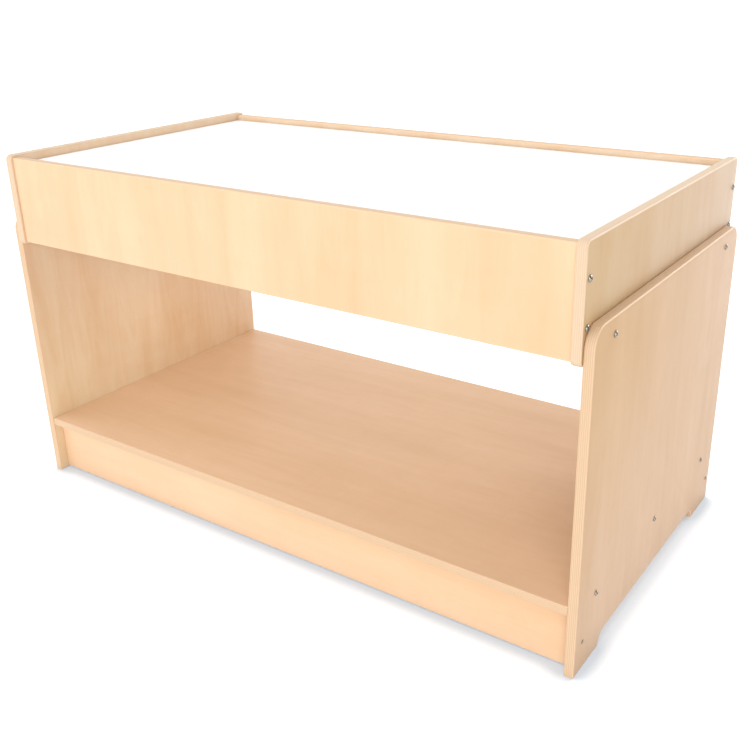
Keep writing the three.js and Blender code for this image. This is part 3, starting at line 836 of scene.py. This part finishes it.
def make_tub():
    low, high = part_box("tub")
    top, floor = high.z, low.z
    flange_x, flange_y = high.x, high.y
    ledger_low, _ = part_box("right_ledger")
    rear_low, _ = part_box("rear_ledger")
    outer_x = ledger_low.x - TUB_WALL
    outer_y = rear_low.y - TUB_WALL
    inner_x, inner_y = outer_x - TUB_WALL, outer_y - TUB_WALL
    inner_floor = floor + TUB_WALL
    rings = []

    def wall(half_x, half_y, radius, z, lean=0.0):
        rings.append(tub_ring(half_x - lean, half_y - lean, radius - lean * 0.5, z))

    # the flange's edge, from below to above
    wall(flange_x - 0.001, flange_y - 0.001, FLANGE_CORNER, top - TUB_WALL)
    wall(flange_x, flange_y, FLANGE_CORNER, top - TUB_WALL + 0.001)
    wall(flange_x, flange_y, FLANGE_CORNER, top - 0.001)
    wall(flange_x - 0.0004, flange_y - 0.0004, FLANGE_CORNER, top - 0.0003)
    wall(flange_x - 0.001, flange_y - 0.001, FLANGE_CORNER, top)
    # over the rim and down the inner wall
    for angle in np.radians(np.linspace(0, 90, 6)):
        out = TUB_RIM_ROUND * (1 - math.sin(angle))
        z = top - TUB_RIM_ROUND * (1 - math.cos(angle))
        wall(inner_x + out, inner_y + out, TUB_CORNER - TUB_WALL + out, z)
    bend = TUB_FLOOR_ROUND - TUB_WALL
    for z in np.linspace(top - 0.02, inner_floor + bend + 0.004, 4):
        wall(inner_x, inner_y, TUB_CORNER - TUB_WALL, z, TUB_DRAFT * (top - z))
    lean = TUB_DRAFT * (top - inner_floor - bend)
    for angle in np.radians(np.linspace(0, 90, 8)):
        z = inner_floor + bend * (1 - math.sin(angle))
        wall(inner_x, inner_y, TUB_CORNER - TUB_WALL, z, lean + bend * (1 - math.cos(angle)))
    count = len(rings[0])
    rings.append(drain_ring(FLOOR_RING, inner_floor, count))
    rings.append(drain_ring(DRAIN_HOLE + 0.001, inner_floor, count))
    rings.append(drain_ring(DRAIN_HOLE, inner_floor - 0.0008, count))
    rings.append(drain_ring(DRAIN_HOLE, floor + 0.0008, count))
    rings.append(drain_ring(DRAIN_HOLE + 0.001, floor, count))
    rings.append(drain_ring(FLOOR_RING, floor, count))
    # the underside and the outer wall, from the floor up to the flange
    lean = TUB_DRAFT * (top - floor - TUB_FLOOR_ROUND)
    for angle in np.radians(np.linspace(90, 0, 8)):
        z = floor + TUB_FLOOR_ROUND * (1 - math.sin(angle))
        wall(outer_x, outer_y, TUB_CORNER, z, lean + TUB_FLOOR_ROUND * (1 - math.cos(angle)))
    under = top - TUB_WALL
    for z in np.linspace(floor + TUB_FLOOR_ROUND + 0.004, under - 0.006, 4):
        wall(outer_x, outer_y, TUB_CORNER, z, TUB_DRAFT * (top - z))
    for angle in np.radians(np.linspace(0, 90, 5)):
        out = FLANGE_UNDER_ROUND * (1 - math.cos(angle)) - 0.001
        z = under - FLANGE_UNDER_ROUND * (1 - math.sin(angle))
        wall(outer_x + out, outer_y + out, TUB_CORNER + out, z)
    obj = loft("tub_moulding", rings, [MATERIALS["tub"]], capped=False)
    return finish_piece(obj, "tub")


def make_drain():
    """The drain fitting, its gasket and its lock nut. Rings round the fitting's tube stand for a thread."""
    low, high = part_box("drain_fitting")
    bore, tube, flange = DRAIN_BORE, DRAIN_TUBE, high.x
    seat = high.z - DRAIN_FLANGE_THICKNESS
    profile = [(bore, low.z + 0.0006), (bore + 0.0006, low.z), (tube - 0.001, low.z)]
    pitch = DRAIN_RING_PITCH
    z = low.z + 0.001
    while z < DRAIN_RINGS_TOP:
        profile += [(tube - 0.0008, z), (tube, z + pitch * 0.35), (tube, z + pitch * 0.5)]
        z += pitch
    profile += [(tube - 0.0004, z), (tube - 0.0004, seat - 0.0005), (tube, seat)]
    profile += [(flange - 0.0006, seat), (flange, seat + 0.0006), (flange - 0.0004, seat + 0.0014)]
    profile += [(flange - 0.0025, high.z - 0.0004), (flange - 0.004, high.z), (bore + 0.005, high.z)]
    profile += [(bore + 0.0015, high.z - 0.0003), (bore, high.z - 0.0014)]
    fitting = turned("drain_fitting_moulding", profile, MATERIALS["drain"])
    finish_piece(fitting, "drain_fitting")

    low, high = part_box("drain_gasket")
    hole, outer, soft = DRAIN_HOLE, high.x, 0.0004
    profile = [(hole + soft, low.z), (outer - soft, low.z)]
    profile += [(outer, low.z + soft), (outer, high.z - soft)]
    profile += [(outer - soft, high.z), (hole + soft, high.z)]
    profile += [(hole, high.z - soft), (hole, low.z + soft)]
    gasket = turned("drain_gasket_ring", profile, MATERIALS["rubber"])
    finish_piece(gasket, "drain_gasket")
    make_lock_nut()


def make_lock_nut():
    """A hexagonal lock nut with rounded corners and chamfered ends.

    Rings in its hole stand for a thread.
    """
    low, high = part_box("drain_nut")
    count = 72
    angles = np.linspace(0, 2 * math.pi, count, endpoint=False)
    flats = high.y
    corner = high.x
    reach = np.minimum(flats / np.cos((angles % (math.pi / 3)) - math.pi / 6), corner * 0.985)

    def ring(radii, z):
        radii = np.broadcast_to(radii, count)
        return np.stack([radii * np.cos(angles), radii * np.sin(angles), np.full(count, z)], 1)

    round_end = np.minimum(reach, flats)
    rings = [
        ring(LOCK_NUT_MOUTH, low.z),
        ring(round_end - 0.0012, low.z),
        ring(round_end, low.z + 0.0004),
        ring(reach, low.z + 0.0018),
        ring(reach, high.z - 0.0018),
        ring(round_end, high.z - 0.0004),
        ring(round_end - 0.0012, high.z),
        ring(LOCK_NUT_MOUTH, high.z),
    ]
    for step in range(1, 14):
        z = high.z - 0.0005 - step * (high.z - low.z - 0.001) / 14
        rings.append(ring(DRAIN_HOLE + LOCK_NUT_RINGS * (step % 2), z))
    nut = loft("drain_nut_moulding", rings, [MATERIALS["drain"]], capped=False)
    finish_piece(nut, "drain_nut")


def make_plug():
    low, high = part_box("drain_plug")
    cap = high.x
    cap_low = low.z + PLUG_LENGTH
    cap_high = cap_low + PLUG_CAP_THICKNESS
    neck, knob = 0.0038, 0.006
    profile = [(0.0002, low.z + 0.0012), (0.0080, low.z + 0.0012)]
    profile += [(0.0086, low.z), (0.0092, low.z + 0.0003)]
    for step in range(3):
        z = low.z + 0.0035 + step * 0.0042
        radius = 0.0096 + 0.00025 * step
        profile += [(radius - 0.0006, z), (radius, z + 0.0009)]
        profile += [(radius, z + 0.0017), (radius - 0.0006, z + 0.0026)]
    profile += [(0.0098, cap_low - 0.001), (0.0104, cap_low)]
    profile += [(cap - 0.0004, cap_low), (cap, cap_low + 0.0005)]
    profile += [(cap - 0.0002, cap_low + 0.0013), (cap - 0.0012, cap_high - 0.0003)]
    profile += [(cap - 0.0026, cap_high)]
    profile += [(neck + 0.0022, cap_high), (neck + 0.0006, cap_high + 0.0006), (neck, cap_high + 0.0022)]
    for angle in np.radians(np.linspace(-60, 84, 12)):
        radius = knob * 0.42 + knob * 0.58 * math.cos(angle)
        profile.append((radius, high.z - 0.0034 + 0.0034 * math.sin(angle)))
    profile.append((0.0002, high.z))
    plug = turned("drain_plug_stopper", profile, MATERIALS["rubber"], segments=56, closed=False)
    finish_piece(plug, "drain_plug")


# ---------------------------------------------------------------- camera, light and floor


def make_camera():
    """A short telephoto view down on the table from its right front corner."""
    place = Vector((1.0461, -1.3973, 1.0016))
    sight = Vector((-0.5234, 0.7607, -0.3839))
    camera = bpy.data.cameras.new("camera")
    camera.lens = 45.618
    camera.sensor_width = 36.0
    camera.shift_x = -0.0326
    camera.shift_y = -0.0206
    obj = bpy.data.objects.new("camera", camera)
    roll = Matrix.Rotation(math.radians(-1.035), 4, "Z")
    turn = sight.to_track_quat("-Z", "Y").to_matrix().to_4x4()
    obj.matrix_world = Matrix.Translation(place) @ turn @ roll
    bpy.context.scene.collection.objects.link(obj)
    bpy.context.scene.camera = obj


def make_light():
    """A light tent, bright but for a dark wall on the right, with a brighter ceiling and two low lamps."""
    scene = bpy.context.scene
    world = bpy.data.worlds.new("tent")
    scene.world = world
    world.use_nodes = True
    tree = world.node_tree
    background = tree.nodes["Background"]
    direction = tree.nodes.new("ShaderNodeTexCoord").outputs["Generated"]
    parts = tree.nodes.new("ShaderNodeSeparateXYZ")
    tree.links.new(direction, parts.inputs[0])

    def graded(axis, start, end, low, high):
        node = tree.nodes.new("ShaderNodeMapRange")
        node.interpolation_type = "SMOOTHSTEP"
        tree.links.new(parts.outputs[axis], node.inputs["Value"])
        for name, value in (("From Min", start), ("From Max", end), ("To Min", low), ("To Max", high)):
            node.inputs[name].default_value = value
        return node.outputs["Result"]

    def joined(operation, first, second):
        node = tree.nodes.new("ShaderNodeMath")
        node.operation = operation
        tree.links.new(first, node.inputs[0])
        tree.links.new(second, node.inputs[1])
        return node.outputs[0]

    walls = graded("X", 0.15, 0.65, WALLS, WALL_RIGHT)
    tent = joined("MULTIPLY", walls, graded("Z", 0.5, 0.95, 1.0, CEILING))
    # seen directly, no part of the tent is darker than plain white
    seen = tree.nodes.new("ShaderNodeLightPath").outputs["Is Camera Ray"]
    tree.links.new(joined("MAXIMUM", tent, seen), background.inputs["Strength"])
    background.inputs["Color"].default_value = (1.0, 1.0, 1.0, 1.0)
    lamps = (("front_lamp", -LAMP_TURN, FRONT_LAMP), ("rear_lamp", LAMP_TURN, REAR_LAMP))
    for name, turn, strength in lamps:
        lamp = bpy.data.lights.new(name, "SUN")
        lamp.energy = strength
        lamp.angle = math.radians(LAMP_SIZE)
        obj = bpy.data.objects.new(name, lamp)
        obj.rotation_euler = Euler((math.radians(90 - LAMP_HEIGHT), 0, math.radians(90 + turn)))
        scene.collection.objects.link(obj)
    scene.view_settings.view_transform = "Standard"


def make_floor():
    """White paper that gives off a little light, with a cool shade where something stands close to it."""
    mesh = bpy.data.meshes.new("floor")
    reach = FLOOR_REACH
    corners = [(-reach, -reach, 0), (reach, -reach, 0), (reach, reach, 0), (-reach, reach, 0)]
    mesh.from_pydata(corners, [], [(0, 1, 2, 3)])
    nodes = Nodes("floor_paper")
    shade = nodes.add("ShaderNodeAmbientOcclusion", {"Distance": SHADE_REACH}, samples=16)
    open_share = nodes.ranged(shade.outputs["AO"], *SHADE_RANGE, 0.0, 1.0)
    paper = nodes.mixed(open_share, colour(*PAPER[0]), colour(*PAPER[1]))
    glow = nodes.mixed(open_share, colour(*GLOW[0]), colour(*GLOW[1]))
    mesh.materials.append(nodes.shade(colour=paper, roughness=0.8, specular=0.2))
    nodes.put(nodes.shader.inputs["Emission Color"], glow)
    nodes.shader.inputs["Emission Strength"].default_value = FLOOR_GLOW
    obj = bpy.data.objects.new("floor", mesh)
    bpy.context.scene.collection.objects.link(obj)


make_camera()
make_boards()
make_fasteners()
make_cover()
make_tub()
make_drain()
make_plug()
make_light()
make_floor()
